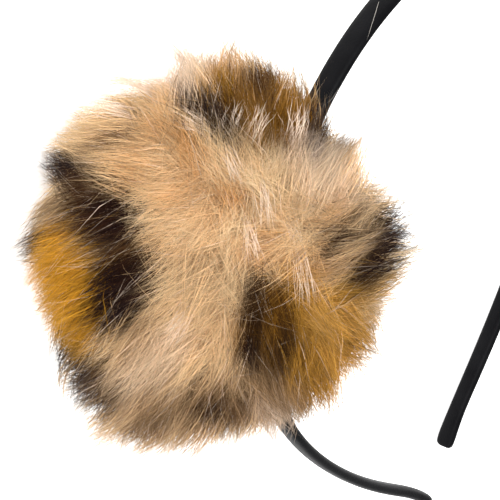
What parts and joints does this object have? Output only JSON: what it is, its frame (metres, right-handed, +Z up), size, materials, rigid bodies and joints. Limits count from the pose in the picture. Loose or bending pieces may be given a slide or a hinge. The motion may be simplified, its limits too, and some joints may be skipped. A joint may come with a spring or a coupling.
{
  "type": "pompom headband",
  "caption": "Slim black cloth-covered headband, a springy open horseshoe, with a leopard-print faux fur pompom on its side; lies on its side.",
  "frame": {"origin": "middle of the lowest face of the box round the headband, on the surface that it lies on", "axes": "+Z up from the surface; +Y from the tips towards the crown; +X from the pompom towards the bare leg"},
  "size_m": [0.1678, 0.1534, 0.0724],
  "materials": {
    "band_cloth": "satin",
    "elastic": "matte",
    "faux_fur": "matte"
  },
  "bodies": {
    "root": {"headband": "band_cloth", "elastic_loop": "elastic", "pompom": "faux_fur"}
  },
  "joints": []
}
